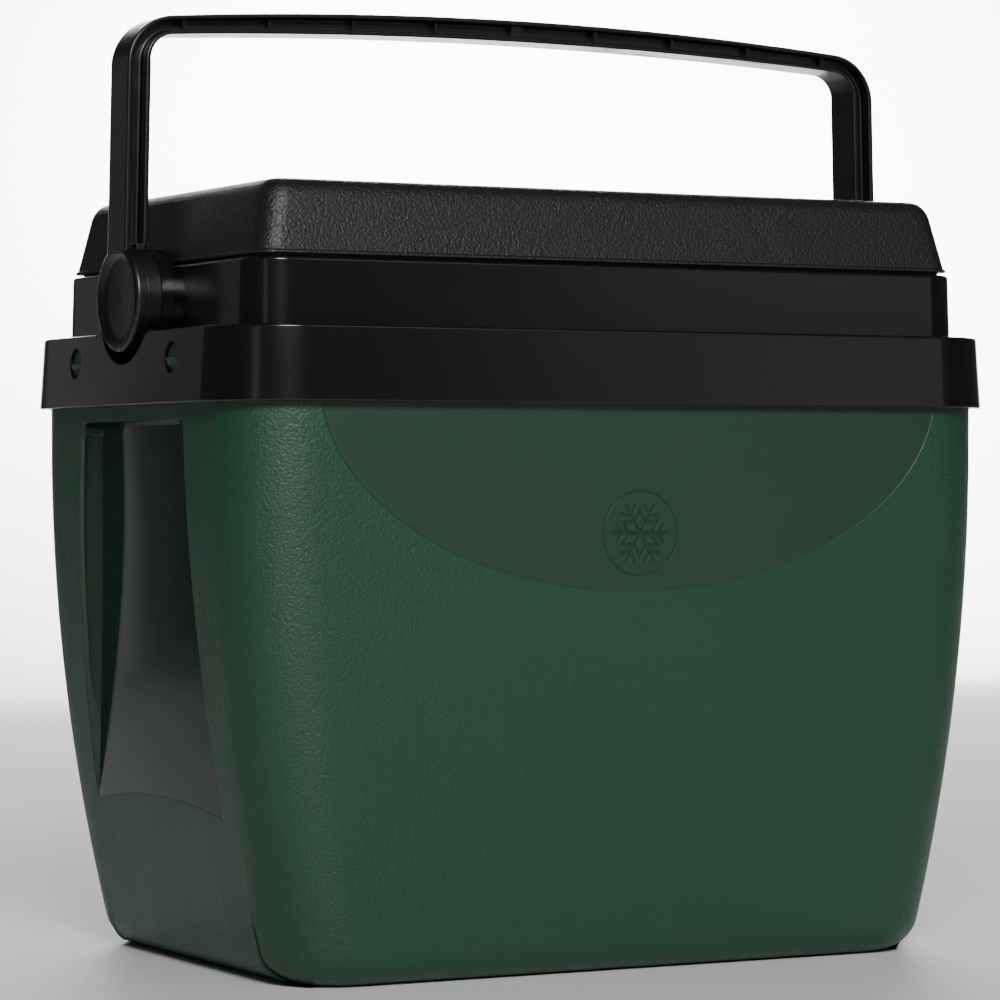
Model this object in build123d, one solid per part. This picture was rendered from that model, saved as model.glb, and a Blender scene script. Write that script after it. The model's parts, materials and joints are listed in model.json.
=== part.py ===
"""Insulated picnic cooler box with a lift-off lid and a swing-over bail handle.

Millimetres, +Z up, X along the long side, the front is -Y, origin at the bottom centre.
"""
import os

from build123d import *

# ---- driving dimensions (mm) ----
collar_length = 420.0
collar_depth = 274.6
collar_corner = 42.0
collar_bottom = 268.1
ledge_height = 302.9
rim_height = 334.0
ledge_draft = 2.2
upper_inset_low = 17.2
upper_inset_high = 18.1
upper_corner = 20.0
collar_wall = 3.0
ledge_round = 1.3
rim_round = 1.5
skirt_round = 0.8
mouth_half_x = 181.0
mouth_half_y = 108.0

shell_half_x = 204.5
shell_half_y = 131.8
shell_corner = 37.0
shell_knee = 250.0
bow_x = 0.00048
bow_y = 0.00013
body_steps = (45.0, 90.0, 140.0, 195.0, 250.0)
shell_wall = 2.6
shell_foot_round = 15.0
shell_top = ledge_height - collar_wall
collar_gap = 0.4
foam_gap = 0.4
dimple_half_x = 130.0
dimple_half_y = 80.0
dimple_corner = 18.0
dimple_depth = 1.0

recess_top = 261.0
recess_half = 63.0
recess_flare = 0.075
recess_corner = 9.0
recess_floor = 190.7
recess_lean = 0.0000978
recess_foot = 75.0
recess_steps = (60.0, 150.0, 205.0)
recess_reach = 22.0

liner_half_x = 181.5
liner_half_y = 108.5
liner_corner = 26.0
liner_taper_x = 19.5
liner_taper_y = 5.0
liner_wall = 2.0
liner_floor = 28.0
liner_foot_round = 10.0
liner_top = rim_height - collar_wall
flange_reach = 7.0
flange_height = 2.4

lid_low = 335.6
lid_top = 370.8
lid_inset_low = 22.9
lid_inset_high = 29.9
lid_corner = 11.5
lid_wall = 2.6
lid_edge_round = 9.5
lip_out = 0.7
lip_height = 2.4
pan_inset = 1.4
plug_half_x = 178.5
plug_half_y = 105.5
plug_corner = 22.0
plug_depth = 22.0
plug_wall = 2.5
plug_foot_round = 6.0

pivot_z = 319.0
hub_radius = 25.5
hub_inner = 198.2
hub_outer = 211.8
hub_dish_radius = 20.0
hub_dish_depth = 4.0
cap_thick = 2.2
pocket_radius = 31.6
pocket_floor = 197.8
pocket_back = 190.0
pad_radius = 24.0
boss_margin = 3.5
boss_low = 284.2
notch_margin = 4.0
notch_low = 283.5
notch_inner = 188.0
pin_radius = 7.0
pin_clearance = 0.05
pin_head_radius = 11.0
pin_head_inner = 204.0
pin_head_outer = 206.8
pin_seat_radius = 12.0
pin_seat = 203.7
pin_inner = 187.0
pin_tail_radius = 9.5
pin_tail_length = 1.7

arm_outer_low = 212.0
arm_outer_high = 210.6
arm_thick = 12.0
grip_top = 461.4
grip_top_end = 451.9
grip_under = 450.9
grip_under_end = 444.5
bar_round_outer = 24.0
bar_round_inner = 13.0
bar_half_depth = 11.0
web_half = 2.0
flange_thick = 2.7
rib_pitch = 45.0
rib_count = 4
rib_thick = 2.4
middle_rib_thick = 6.0
rib_zone_low = 435.0
lug_inner = 198.4
lug_outer = 201.2
lug_half_y = 7.0
lug_low = 338.0
lug_high = 344.0

catch_z = 289.5
catch_y = 58.8
catch_hole = 7.4
catch_gap = 0.5
catch_half_y = 7.0
catch_back = 203.0
catch_profile = ((203.0, 282.5), (205.4, 282.5), (208.4, 288.2), (208.4, 289.6), (203.0, 289.6))

far = 250.0  # beyond every face of the box

os.makedirs("parts", exist_ok=True)


def rounded(half_x, half_y, radius, z):
    """One rounded rectangle lying at height z."""
    return Pos(0, 0, z) * RectangleRounded(2 * half_x, 2 * half_y, radius)


def slab(half_x, half_y, radius, z0, z1):
    """A straight rounded block from z0 to z1."""
    return extrude(rounded(half_x, half_y, radius, z0), amount=z1 - z0)


def block(x0, x1, half_y, z0, z1, side=1):
    """A box between two distances from the middle, at one end."""
    return Pos(side * (x0 + x1) / 2, 0, (z0 + z1) / 2) * Box(x1 - x0, 2 * half_y, z1 - z0)


def drum(x0, x1, radius, side, y=0.0, z=pivot_z):
    """A cylinder along X between two distances from the middle, at one end."""
    return Pos(side * (x0 + x1) / 2, y, z) * Rot(0, 90, 0) * Cylinder(radius, x1 - x0)


def foot_edges(solid):
    """The outline of the lowest face."""
    return solid.faces().sort_by(Axis.Z)[0].edges()


def top_edges(solid):
    """The outline of the highest face."""
    return solid.faces().sort_by(Axis.Z)[-1].edges()


def collar_slab(inset0, z0, inset1, z1, corner):
    """A drafted rounded block, inset from the collar's outline at its two ends."""
    sections = []
    for inset, z in ((inset0, z0), (inset1, z1)):
        half_x = collar_length / 2 - inset
        half_y = collar_depth / 2 - inset
        sections.append(rounded(half_x, half_y, corner + inset0 - inset, z))
    return loft(sections, ruled=True)


def body_loft(inset, z0, z1):
    """The tapering body, bowed in below the knee and shrunk by inset, from z0 to z1."""
    heights = [z0] + [z for z in body_steps if z0 < z < z1] + [z1]
    sections = []
    for z in heights:
        drop = max(0.0, shell_knee - z)
        half_x = shell_half_x - bow_x * drop ** 2 - inset
        half_y = shell_half_y - bow_y * drop ** 2 - inset
        sections.append(rounded(half_x, half_y, shell_corner - inset, z))
    return loft(sections, ruled=True)


def recess(side, grow):
    """The hand recess in one end, open at its foot, grown on all sides by grow."""
    sections = []
    for z in (*recess_steps, recess_top):
        half_y = recess_half + recess_flare * (recess_top - z) + grow
        inner = recess_floor + recess_lean * (z - recess_foot) ** 2 - grow
        top = z + grow if z == recess_top else z
        middle = side * (inner + recess_reach / 2)
        sections.append(Pos(middle, 0, top) * Rectangle(recess_reach, 2 * half_y))
    scoop = loft(sections, ruled=True)
    corners = scoop.edges().filter_by(Axis.X).group_by(Axis.Z)[-1]
    return fillet(corners, recess_corner + grow)


def catch(side, y):
    """One moulded snap catch: a wedge rising to a level ledge."""
    outline = make_face(Polyline(*[(side * x, z) for x, z in catch_profile], close=True))
    wedge = extrude(Plane.XZ * outline, amount=catch_half_y, both=True)
    barrel = drum(catch_back - 4.0, far, catch_hole - catch_gap, side, z=catch_z)
    return Pos(0, y, 0) * (wedge & barrel)


def liner_loft(grow, z0, z1):
    """The liner tub's drafted volume, grown by grow."""
    sections = []
    for z in (z0, z1):
        share = (liner_top - z) / (liner_top - liner_floor)
        half_x = liner_half_x - liner_taper_x * share + grow
        half_y = liner_half_y - liner_taper_y * share + grow
        sections.append(rounded(half_x, half_y, liner_corner + grow, z))
    return loft(sections, ruled=True)


def lid_loft(inset, z0, z1):
    """The lid's sloping flanks between two heights, shrunk by inset."""
    sections = []
    for z in (z0, z1):
        share = (z - lid_low) / (lid_top - lid_low)
        gone = lid_inset_low + (lid_inset_high - lid_inset_low) * share + inset
        sections.append(rounded(collar_length / 2 - gone, collar_depth / 2 - gone, lid_corner - inset, z))
    return loft(sections, ruled=True)


def arch_outline(low_x, high_x, foot_z, corner_z, middle_z, radius):
    """A doorway outline in the XZ plane with an arched top and two rounded corners."""
    left = Line((-low_x, foot_z), (-high_x, corner_z))
    arch = ThreePointArc((-high_x, corner_z), (0, middle_z), (high_x, corner_z))
    right = Line((high_x, corner_z), (low_x, foot_z))
    base = Line((low_x, foot_z), (-low_x, foot_z))
    face = make_face([left, arch, right, base])
    corners = [vertex for vertex in face.vertices() if vertex.Y > pivot_z]
    return fillet(corners, radius)


def bail_face(inset):
    """The bail's outline with its window, both moved into the bar by inset."""
    outer = arch_outline(
        arm_outer_low - inset,
        arm_outer_high - inset,
        pivot_z,
        grip_top_end - inset,
        grip_top - inset,
        bar_round_outer - inset,
    )
    window = arch_outline(
        arm_outer_low - arm_thick + inset,
        arm_outer_high - arm_thick + inset,
        pivot_z - 10.0,
        grip_under_end + inset,
        grip_under + inset,
        bar_round_inner + inset,
    )
    return Plane.XZ * (outer - window)


# ---- outer shell ----
shell_outer = body_loft(0.0, 0.0, shell_top)
shell_outer = fillet(foot_edges(shell_outer), shell_foot_round)
shell_inner = body_loft(shell_wall, shell_wall, shell_top)
shell_inner = fillet(foot_edges(shell_inner), shell_foot_round - shell_wall)
core = shell_inner - recess(-1, shell_wall) - recess(1, shell_wall)
shell = shell_outer - core - recess(-1, 0.0) - recess(1, 0.0)
for side in (-1, 1):
    notch_half = pocket_radius + notch_margin
    shell = shell - block(notch_inner, far, notch_half, notch_low, shell_top + 10.0, side)
    for y in (-catch_y, catch_y):
        shell = shell + catch(side, y)
shell = shell - slab(dimple_half_x, dimple_half_y, dimple_corner, 0.0, dimple_depth)
export_step(shell, "parts/outer_shell.step")

# ---- collar ----
lower_band = collar_slab(0.0, collar_bottom, ledge_draft, ledge_height, collar_corner)
lower_band = fillet(top_edges(lower_band), ledge_round)
lower_band = fillet(foot_edges(lower_band), skirt_round)
upper_band = collar_slab(
    upper_inset_low, ledge_height - 2.0, upper_inset_high, rim_height, upper_corner
)
upper_band = fillet(top_edges(upper_band), rim_round)
collar = lower_band + upper_band
hollow_low = slab(
    shell_half_x + collar_gap,
    shell_half_y + collar_gap,
    shell_corner + collar_gap,
    collar_bottom - 1.0,
    shell_top,
)
hollow_high = collar_slab(
    upper_inset_low + collar_wall,
    shell_top - 1.0,
    upper_inset_high + collar_wall,
    liner_top,
    upper_corner - collar_wall,
)
mouth = slab(mouth_half_x, mouth_half_y, liner_corner, liner_top - 2.0, rim_height + 2.0)
collar = collar - hollow_low - hollow_high - mouth
band_room = collar_slab(
    collar_gap, collar_bottom, ledge_draft + collar_gap, ledge_height, collar_corner - collar_gap
)
for side in (-1, 1):
    pad = drum(pocket_back, pocket_floor, pad_radius, side)
    boss = block(pocket_back, shell_half_x + 3.5, pocket_radius + boss_margin, boss_low, ledge_height, side)
    collar = collar + pad + (boss & band_room)
    collar = collar - drum(pocket_floor, far, pocket_radius, side)
    collar = collar - drum(pocket_back - 5.0, far, pin_radius, side)
    for y in (-catch_y, catch_y):
        collar = collar - drum(pocket_floor + 2.2, far, catch_hole, side, y, catch_z)
export_step(collar, "parts/collar.step")

# ---- inner liner ----
liner_base = liner_floor - liner_wall
liner_outer = liner_loft(liner_wall, liner_base, liner_top)
liner_outer = fillet(foot_edges(liner_outer), liner_foot_round + liner_wall)
liner_inner = liner_loft(0.0, liner_floor, liner_top)
liner_inner = fillet(foot_edges(liner_inner), liner_foot_round)
flange = slab(
    liner_half_x + flange_reach,
    liner_half_y + flange_reach,
    liner_corner + flange_reach,
    liner_top - flange_height,
    liner_top,
)
liner = (liner_outer + flange) - liner_inner
export_step(liner, "parts/inner_liner.step")

# ---- insulation ----
foam_inset = shell_wall + foam_gap
foam_core = body_loft(foam_inset, shell_wall, shell_top - 0.9)
foam_core = fillet(foot_edges(foam_core), shell_foot_round - shell_wall)
for side in (-1, 1):
    foam_core = foam_core - recess(side, foam_inset)
    room = block(notch_inner - 2.0, far, pocket_radius + 10.4, notch_low - 3.5, far * 2, side)
    foam_core = foam_core - room
foam_floor = foam_core & block(-far, far, far, 0.0, liner_base)
foam_walls = (foam_core - liner_outer) & block(-far, far, far, liner_base, far * 2)
split_y = liner_half_y + liner_wall
export_step(foam_floor, "parts/foam_floor.step")
for name, side in (("front", -1), ("back", 1)):
    zone = Pos(0, side * (split_y + 50.0), far) * Box(2 * far, 100.0, 2 * far)
    export_step(foam_walls & zone, f"parts/foam_{name}.step")
for name, side in (("left", -1), ("right", 1)):
    zone = block(liner_half_x - 45.0, far, split_y, 0.0, 2 * far, side)
    export_step(foam_walls & zone, f"parts/foam_{name}.step")

# ---- lid ----
cover = lid_loft(0.0, lid_low, lid_top)
cover = fillet(top_edges(cover), lid_edge_round)
lip_half_x = collar_length / 2 - lid_inset_low + lip_out
lip_half_y = collar_depth / 2 - lid_inset_low + lip_out
cover = cover + slab(lip_half_x, lip_half_y, lid_corner + lip_out, lid_low, lid_low + lip_height)
cover_hollow = lid_loft(lid_wall, lid_low, lid_top - lid_wall)
cover_hollow = fillet(top_edges(cover_hollow), lid_edge_round - lid_wall)
export_step(cover - cover_hollow, "parts/lid_cover.step")

pan_half_x = collar_length / 2 - lid_inset_low - pan_inset
pan_half_y = collar_depth / 2 - lid_inset_low - pan_inset
plug_foot = rim_height - plug_depth
pan = slab(pan_half_x, pan_half_y, lid_corner - pan_inset, rim_height, lid_low)
plug = slab(plug_half_x, plug_half_y, plug_corner, plug_foot, lid_low)
plug = fillet(foot_edges(plug), plug_foot_round)
plug_hollow = slab(
    plug_half_x - plug_wall,
    plug_half_y - plug_wall,
    plug_corner - plug_wall,
    plug_foot + plug_wall,
    lid_low,
)
plug_hollow = fillet(foot_edges(plug_hollow), plug_foot_round - 2.0)
export_step((pan + plug) - plug_hollow, "parts/lid_pan.step")

high_foam = lid_loft(lid_wall + foam_gap, lid_low, lid_top - lid_wall - foam_gap)
high_foam = fillet(top_edges(high_foam), lid_edge_round - lid_wall)
plug_inset = plug_wall + foam_gap
low_foam = slab(
    plug_half_x - plug_inset,
    plug_half_y - plug_inset,
    plug_corner - plug_inset,
    plug_foot + plug_wall,
    lid_low,
)
low_foam = fillet(foot_edges(low_foam), plug_foot_round - 1.8)
export_step(high_foam + low_foam, "parts/lid_foam.step")

# ---- swing handle ----
bail = extrude(bail_face(0.0), amount=bar_half_depth, both=True)
groove = extrude(bail_face(flange_thick), amount=bar_half_depth + 1.0, both=True)
groove = groove - block(-far, far, web_half, pivot_z, 2 * far)
groove = groove - block(-far, far, far, 0.0, pivot_z + hub_radius)
for step in range(-rib_count, rib_count + 1):
    half = (rib_thick if step else middle_rib_thick) / 2
    groove = groove - block(step * rib_pitch - half, step * rib_pitch + half, far, rib_zone_low, 2 * far)
bail = bail - groove
for side in (-1, 1):
    bail = bail + drum(hub_inner, hub_outer, hub_radius, side)
    bail = bail + block(lug_inner, lug_outer, lug_half_y, lug_low, lug_high, side)
    bail = bail - drum(hub_inner - 10.0, hub_inner, hub_radius - 2.0, side)
    bail = bail - block(hub_outer, far, far, pivot_z - hub_radius, pivot_z + hub_radius, side)
    bail = bail - drum(hub_outer - hub_dish_depth, hub_outer, hub_dish_radius, side)
    bail = bail - drum(hub_inner - 1.0, hub_outer, pin_radius + pin_clearance, side)
    bail = bail - drum(pin_seat, hub_outer, pin_seat_radius, side)
export_step(bail, "parts/handle_bail.step")

for name, side in (("left", -1), ("right", 1)):
    cap_back = hub_outer - hub_dish_depth
    cap = drum(cap_back, cap_back + cap_thick, hub_dish_radius, side)
    export_step(cap, f"parts/hub_cap_{name}.step")
    shaft = drum(pin_inner, pin_head_inner, pin_radius, side)
    head = drum(pin_head_inner, pin_head_outer, pin_head_radius, side)
    tail = drum(pin_inner, pin_inner + pin_tail_length, pin_tail_radius, side)
    export_step(shaft + head + tail, f"parts/pivot_pin_{name}.step")
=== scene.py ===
"""Insulated picnic cooler box: the looks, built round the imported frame. Metres, +Z up, front at -Y."""

import json
import math

import bpy
import numpy as np
from mathutils import Matrix, Vector


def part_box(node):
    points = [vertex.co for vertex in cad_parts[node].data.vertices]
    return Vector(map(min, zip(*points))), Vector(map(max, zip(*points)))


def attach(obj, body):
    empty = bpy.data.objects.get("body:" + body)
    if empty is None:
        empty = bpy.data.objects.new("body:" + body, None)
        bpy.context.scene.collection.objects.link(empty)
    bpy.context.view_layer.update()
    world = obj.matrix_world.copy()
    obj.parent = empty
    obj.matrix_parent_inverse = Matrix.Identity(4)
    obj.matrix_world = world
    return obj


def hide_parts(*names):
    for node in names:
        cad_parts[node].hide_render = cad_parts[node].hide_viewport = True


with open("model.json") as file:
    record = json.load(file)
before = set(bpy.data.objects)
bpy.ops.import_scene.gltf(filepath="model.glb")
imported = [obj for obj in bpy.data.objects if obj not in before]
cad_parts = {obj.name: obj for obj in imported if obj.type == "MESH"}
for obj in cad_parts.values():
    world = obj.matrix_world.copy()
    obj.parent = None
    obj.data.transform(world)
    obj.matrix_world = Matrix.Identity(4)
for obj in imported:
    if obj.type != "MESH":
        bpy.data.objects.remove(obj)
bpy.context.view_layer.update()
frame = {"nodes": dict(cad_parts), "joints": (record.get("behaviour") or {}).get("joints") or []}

bl_info = {
    "name": "Picnic cooler box",
    "version": (1, 0, 0),
    "blender": (4, 5, 0),
    "location": "3D View > Sidebar > Cooler",
    "description": "Builds an insulated cooler box with a lift-off lid and a swing-over handle",
    "category": "Object",
}

MM = 0.001

shell_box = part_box("outer_shell")
bail_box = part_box("handle_bail")
swing = next(joint for joint in frame["joints"] if joint["name"] == "handle_swing")


# ---------------------------------------------------------------- settings


def length(name, description, default):
    """A size in metres that the user may change."""
    return bpy.props.FloatProperty(
        name=name, description=description, default=default, unit="LENGTH", precision=4
    )


def colour(name, description, default):
    """A linear colour that the user may change."""
    return bpy.props.FloatVectorProperty(
        name=name, description=description, default=default, subtype="COLOR", size=3, min=0, max=1
    )


class CoolerBodySizes(bpy.types.PropertyGroup):
    """The green shell and its hand recesses."""

    half_length: length("Half length", "From the middle to an end at the top", 204.5 * MM)
    half_depth: length("Half depth", "From the middle to the front at the top", 131.8 * MM)
    corner: length("Corner radius", "Radius of the upright corners in plan", 37 * MM)
    knee: length("Knee height", "Below this height the walls curve inwards", 250 * MM)
    foot_round: length("Foot radius", "Rounding between the walls and the underside", 15 * MM)
    wall: length("Wall", "Thickness of the moulding", 2.6 * MM)
    recess_top: length("Recess top", "Top edge of the hand recess", 261 * MM)
    recess_half: length("Recess half width", "Half width of the hand recess at its top", 63 * MM)
    recess_corner: length("Recess corner", "Rounding of the recess's top corners", 9 * MM)
    recess_floor: length("Recess floor", "From the middle to the recess floor at its foot", 190.9 * MM)
    panel_half_length: length("Panel half length", "Smooth half-ellipse on the front", 167 * MM)
    panel_drop: length("Panel drop", "How far the smooth half-ellipse reaches down", 98 * MM)
    panel_height: length("Panel height", "Height of the half-ellipse's middle", 278 * MM)
    mark_height: length("Mark height", "Height of the snowflake mark's middle", 207.5 * MM)
    mark_radius: length("Mark radius", "Radius of the ring round the snowflake", 20 * MM)
    catch_height: length("Catch height", "Height of the snap catches", 289.5 * MM)
    catch_spread: length("Catch spread", "From the middle to a snap catch", 58.8 * MM)


class CoolerLidSizes(bpy.types.PropertyGroup):
    """The lid's cover."""

    corner: length("Corner radius", "Radius of the lid's corners in plan", 11.5 * MM)
    lip: length("Lip", "How far the foot lip stands out", 0.7 * MM)
    lip_height: length("Lip height", "Height of the foot lip", 1.3 * MM)
    overhang: length("Overhang", "How far the skin stands out beyond the plain cover", 1.3 * MM)
    lean: length("Lean", "How far the flanks lean in from foot to top", 7.0 * MM)
    edge_round: length("Edge radius", "Rounding of the top edge", 9.5 * MM)
    crown: length("Crown", "How far the top rises in the middle", 1.0 * MM)
    wall: length("Wall", "Thickness of the moulding", 2.6 * MM)


class CoolerHandleSizes(bpy.types.PropertyGroup):
    """The swing handle and its hubs."""

    half_section: length("Half section", "Half the bar's thickness in the arms", 6 * MM)
    half_depth: length("Half depth", "Half the bar's depth, front to back", 11 * MM)
    flange: length("Flange", "Thickness of the bar's two flanges", 2.7 * MM)
    web: length("Web", "Half the thickness of the web between the flanges", 4.2 * MM)
    corner: length("Corner radius", "Radius of the bar's middle line at the corners", 18.5 * MM)
    grip_half_section: length("Half grip", "Half the bar's thickness mid-grip", 5.25 * MM)
    rib_pitch: length("Rib pitch", "Distance between the small ribs in the grip", 45 * MM)
    rib_width: length("Rib width", "Thickness of a small rib", 1.3 * MM)
    hub_radius: length("Hub radius", "Radius of the round hubs", 25.5 * MM)
    cap_depth: length("Cap depth", "Thickness of the cap on each hub", 5.8 * MM)


class CoolerColours(bpy.types.PropertyGroup):
    """Base colours of the mouldings."""

    shell: colour("Shell", "Green of the outer shell", (0.0075, 0.050, 0.0245))
    panel: colour("Panel", "Green of the smooth half-ellipse", (0.0105, 0.038, 0.0225))
    mark: colour("Mark", "Deeper green of the snowflake mark", (0.0010, 0.029, 0.0145))
    black: colour("Black", "Black of the collar, lid and handle", (0.0050, 0.0043, 0.0046))
    liner: colour("Liner", "White of the inner tub", (0.72, 0.74, 0.73))
    foam: colour("Foam", "White of the insulation", (0.82, 0.82, 0.80))


# ---------------------------------------------------------------- shaders


class Wire:
    """A shader socket that works in a Python expression: each operator adds its Math node."""

    def __init__(self, shader, socket):
        self.shader = shader
        self.socket = socket

    def math(self, operation, other=0.0, turned=False):
        first, second = (other, self) if turned else (self, other)
        return self.shader.node("ShaderNodeMath", {"operation": operation}, {0: first, 1: second})

    def __add__(self, other):
        return self.math("ADD", other)

    def __radd__(self, other):
        return self.math("ADD", other, turned=True)

    def __sub__(self, other):
        return self.math("SUBTRACT", other)

    def __rsub__(self, other):
        return self.math("SUBTRACT", other, turned=True)

    def __mul__(self, other):
        return self.math("MULTIPLY", other)

    def __rmul__(self, other):
        return self.math("MULTIPLY", other, turned=True)

    def __truediv__(self, other):
        return self.math("DIVIDE", other)

    def __pow__(self, other):
        return self.math("POWER", other)

    def __abs__(self):
        return self.math("ABSOLUTE")

    def highest(self, other):
        return self.math("MAXIMUM", other)

    def step(self, start, stop):
        """0 below start, 1 above stop and a smooth rise between them."""
        values = {"Value": self, "From Min": start, "From Max": stop, "To Min": 0.0, "To Max": 1.0}
        return self.shader.node("ShaderNodeMapRange", {"interpolation_type": "SMOOTHSTEP"}, values)


class Shader:
    """One procedural material. Its node() makes every node that isn't a Math node."""

    def __init__(self, name):
        self.material = bpy.data.materials.new(name)
        self.material.use_nodes = True
        self.tree = self.material.node_tree
        self.tree.nodes.clear()
        place = self.node("ShaderNodeTexCoord", out="Object")
        self.place = place
        self.x, self.y, self.z = [
            self.node("ShaderNodeSeparateXYZ", values={0: place}, out=axis) for axis in range(3)
        ]

    def node(self, kind, settings=None, values=None, out=0):
        made = self.tree.nodes.new(kind)
        for key, value in (settings or {}).items():
            setattr(made, key, value)
        for key, value in (values or {}).items():
            if isinstance(value, Wire):
                self.tree.links.new(value.socket, made.inputs[key])
            else:
                made.inputs[key].default_value = value
        return Wire(self, made.outputs[out]) if made.outputs else None

    def stretched(self, scale):
        """Object coordinates scaled by three numbers."""
        return self.node("ShaderNodeMapping", {"vector_type": "POINT"}, {0: self.place, 3: scale})

    def noise(self, scale, detail=2.0, roughness=0.5, place=None):
        values = {"Vector": place or self.place, "Scale": scale, "Detail": detail, "Roughness": roughness}
        return self.node("ShaderNodeTexNoise", {"noise_dimensions": "3D"}, values)

    def cells(self, scale, feature="F1", place=None):
        values = {"Vector": place or self.place, "Scale": scale}
        return self.node("ShaderNodeTexVoronoi", {"feature": feature}, values)

    def mix(self, factor, first, second):
        """A blend of two colours, each a Wire or three numbers."""
        settings = {"data_type": "RGBA", "blend_type": "MIX"}
        ends = [c if isinstance(c, Wire) else (*c, 1.0) for c in (first, second)]
        values = {"Factor": factor, 6: ends[0], 7: ends[1]}
        return self.node("ShaderNodeMix", settings, values, out=2)

    def bump(self, height, distance, strength=1.0, under=None):
        values = {"Height": height, "Distance": distance, "Strength": strength}
        if under is not None:
            values["Normal"] = under
        return self.node("ShaderNodeBump", values=values)

    def finish(self, base, roughness, normal=None, **constants):
        """Ends the material in one Principled surface."""
        values = {"Base Color": base if isinstance(base, Wire) else (*base, 1.0)}
        values["Roughness"] = roughness
        if normal is not None:
            values["Normal"] = normal
        values.update({key.replace("_", " "): value for key, value in constants.items()})
        surface = self.node("ShaderNodeBsdfPrincipled", values=values)
        self.node("ShaderNodeOutputMaterial", values={"Surface": surface})
        return self.material


def leather_grain(shader, pitch):
    """Height of a fine leather grain whose wrinkles are about pitch apart: 0 in a crease, 1 on a pebble."""
    drift = shader.noise(0.7 / pitch, detail=1.0)
    place = shader.node(
        "ShaderNodeVectorMath",
        {"operation": "MULTIPLY_ADD"},
        {0: drift, 1: (pitch, pitch, pitch), 2: shader.place},
    )
    pebbles = shader.cells(1.0 / pitch, "SMOOTH_F1", place)
    wrinkles = shader.noise(1.5 / pitch, detail=2.0, roughness=0.6, place=place)
    return (1.0 - pebbles) * 0.65 + wrinkles * 0.55


def snowflake(shader, across, up, radius):
    """A mask of six plain arms with twigs, drawn round a middle point."""
    reach = (across * across + up * up) ** 0.5
    angle = shader.node("ShaderNodeMath", {"operation": "ARCTAN2"}, {0: up, 1: across})
    sixth = math.pi / 3
    folded = abs(angle.math("PINGPONG", sixth / 2))
    along = reach * folded.math("COSINE")
    aside = reach * folded.math("SINE")
    limb = aside.step(0.052 * radius, 0.040 * radius) * along.step(0.80 * radius, 0.78 * radius)
    flake = limb
    for root in (0.30, 0.50):
        slant = abs((along - root * radius) - aside * 0.62)
        tip = aside.step((0.44 - 0.36 * root) * radius, (0.42 - 0.36 * root) * radius)
        flake = flake.highest(slant.step(0.055 * radius, 0.043 * radius) * tip)
    return flake


def green_plastic(name, sizes, colours):
    """Grained polypropylene with a smooth front panel, its mark, and polished hand recesses; painted shade
    darkens the grain's creases and the recesses.
    """
    shader = Shader(name)
    grain = leather_grain(shader, 1.35 * MM)
    across = shader.x / sizes.panel_half_length
    drop = (shader.z - sizes.panel_height) / sizes.panel_drop
    inside = (across * across + drop * drop).step(1.004, 0.996)
    front = shader.y.step(-0.5 * sizes.half_depth, -0.6 * sizes.half_depth)
    panel = inside * front
    below = sizes.recess_top - shader.z
    aside = below * RECESS_FLARE + sizes.recess_half - abs(shader.y)
    drop = (sizes.knee - shader.z).highest(0.0)
    wall = sizes.half_length - drop * drop * LONG_BOW
    bulge = shader.y * shader.y * (FLOOR_BOW / FLOOR_REACH ** 2)
    rise = shader.z - RECESS_FOOT
    floor = rise * rise * RECESS_LEAN + sizes.recess_floor - bulge
    polish_and_shade = (wall - floor).step(0.02 * MM, 0.12 * MM) * aside.step(-0.2 * MM, 0.2 * MM)
    polish_and_shade = polish_and_shade * below.step(-0.2 * MM, 0.2 * MM) * abs(shader.x).step(180 * MM, 181 * MM)
    smooth = panel.highest(polish_and_shade)
    mark_up = shader.z - sizes.mark_height
    ring = abs((shader.x * shader.x + mark_up * mark_up) ** 0.5 - sizes.mark_radius)
    ring = ring.step(0.55 * MM, 0.35 * MM)
    mark = snowflake(shader, shader.x, mark_up, sizes.mark_radius).highest(ring) * front
    cloud = shader.noise(9.0, detail=3.0)
    body = shader.mix(cloud, colours.shell, [c * 1.14 for c in colours.shell])
    # painted shade: the grain's creases are darker
    body = shader.mix((1.0 - grain) * 0.55, body, [c * 0.62 for c in colours.shell])
    tone = shader.mix(smooth, body, colours.panel)
    # painted shade: the polished hand recesses are darkened towards a third of the shell's green
    tone = shader.mix(polish_and_shade * 0.85, tone, [c * 0.35 for c in colours.shell])
    tone = shader.mix(mark, tone, colours.mark)
    scuffs = shader.noise(60.0, detail=4.0, place=shader.stretched((1.0, 1.0, 0.2)))
    rough = (1.0 - smooth) * (0.40 + scuffs * 0.10) + smooth * 0.46
    rough = rough - polish_and_shade * (0.36 - scuffs * 0.05) - mark * 0.05
    relief = shader.bump(grain * (1.0 - smooth), 0.46 * MM, 1.0)
    waves = shader.noise(14.0, detail=1.0)
    relief = shader.bump(waves * polish_and_shade, 1.1 * MM, 0.35, relief)
    relief = shader.bump(1.0 - mark, 0.2 * MM, 0.5, relief)
    return shader.finish(tone, rough, relief, IOR=1.49)


def glossy_black(name, colours):
    """Polished black moulding with faint flow waves and hairline scuffs."""
    shader = Shader(name)
    waves = shader.noise(8.0, detail=1.0, place=shader.stretched((1.0, 1.0, 2.2)))
    scuffs = shader.noise(170.0, detail=5.0, roughness=0.7, place=shader.stretched((0.25, 0.25, 3.0)))
    marks = scuffs.step(0.66, 0.80)
    tone = shader.mix(marks * 0.35, colours.black, [c * 1.9 for c in colours.black])
    rough = 0.17 + waves * 0.08 + marks * 0.12
    relief = shader.bump(waves, 2.4 * MM, 0.30)
    relief = shader.bump(scuffs, 0.02 * MM, 0.25, relief)
    return shader.finish(tone, rough, relief, IOR=1.49)


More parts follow.
